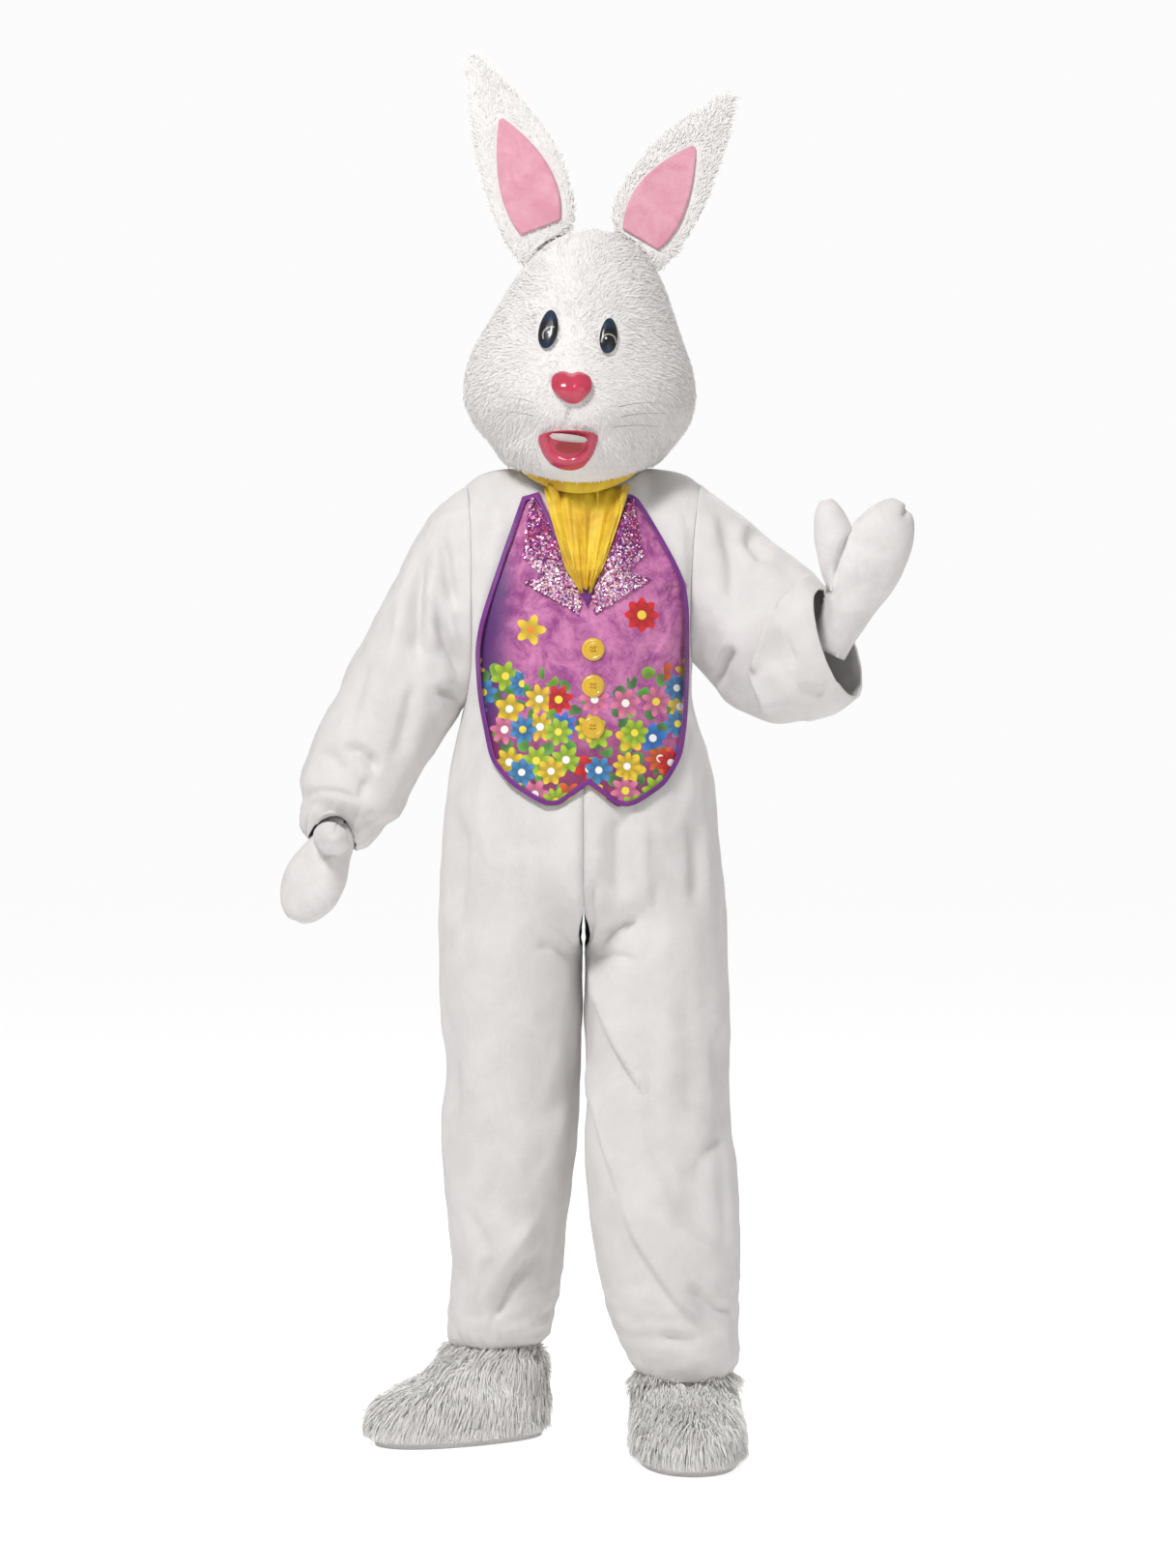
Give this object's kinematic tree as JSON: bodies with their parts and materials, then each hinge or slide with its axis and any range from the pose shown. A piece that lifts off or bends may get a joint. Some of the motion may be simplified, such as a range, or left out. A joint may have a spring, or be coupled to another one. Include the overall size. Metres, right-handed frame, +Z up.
{
  "type": "rabbit mascot costume",
  "caption": "White rabbit mascot costume, worn pose and empty: furred rabbit head with tall ears, baggy plush suit, mitts, furred boot covers, and a printed vest front with a yellow ascot.",
  "frame": {"origin": "inside the hollow neck on the body's mid line, where the costume rests on its wearer's shoulders, 1.44 m above the soles; mount wearer", "axes": "+Z up along the standing body, -Y towards the picture's camera (the costume's front), +X towards the picture's right (the costume's own left hand, raised)"},
  "size_m": [0.9361, 0.4727, 2.0638],
  "materials": {
    "suit_plush": "short-pile warm off-white plush",
    "head_fur": "short white fleece fur over a light moulded shell",
    "boot_fur": "long off-white fur",
    "mitt_plush": "smooth off-white plush",
    "ear_lining_plush": "pink plush",
    "eye_vinyl": "glossy near-black vinyl",
    "nose_vinyl": "glossy pink-red vinyl",
    "lip_vinyl": "moulded pink-red vinyl",
    "mouth_red": "dull red",
    "teeth_white": "grey-white",
    "vest_cloth": "printed magenta-purple cloth",
    "binding_cloth": "purple satin binding",
    "lapel_sequins": "pink and violet sequins on a woven ground",
    "yellow_satin": "golden-yellow satin",
    "button_yellow": "yellow domed plastic"
  },
  "bodies": {
    "root": {"ascot": "yellow_satin", "boot_left": "boot_fur", "boot_right": "boot_fur", "button_1": "button_yellow", "button_2": "button_yellow", "button_3": "button_yellow", "ear_left": "head_fur", "ear_lining_left": "ear_lining_plush", "ear_lining_right": "ear_lining_plush", "ear_right": "head_fur", "eye_left": "eye_vinyl", "eye_right": "eye_vinyl", "lapel_left": "lapel_sequins", "lapel_right": "lapel_sequins", "mask_back": "head_fur", "mask_face": "head_fur", "mitt_left": "mitt_plush", "mitt_right": "mitt_plush", "mouth_back": "mouth_red", "mouth_lip": "lip_vinyl", "neck_band": "yellow_satin", "nose": "nose_vinyl", "sleeve_left": "suit_plush", "sleeve_right": "suit_plush", "sole_left": "suit_plush", "sole_right": "suit_plush", "suit_back_left": "suit_plush", "suit_back_right": "suit_plush", "suit_front_left": "suit_plush", "suit_front_right": "suit_plush", "teeth": "teeth_white", "vest_binding": "binding_cloth", "vest_panel": "vest_cloth"}
  },
  "joints": []
}
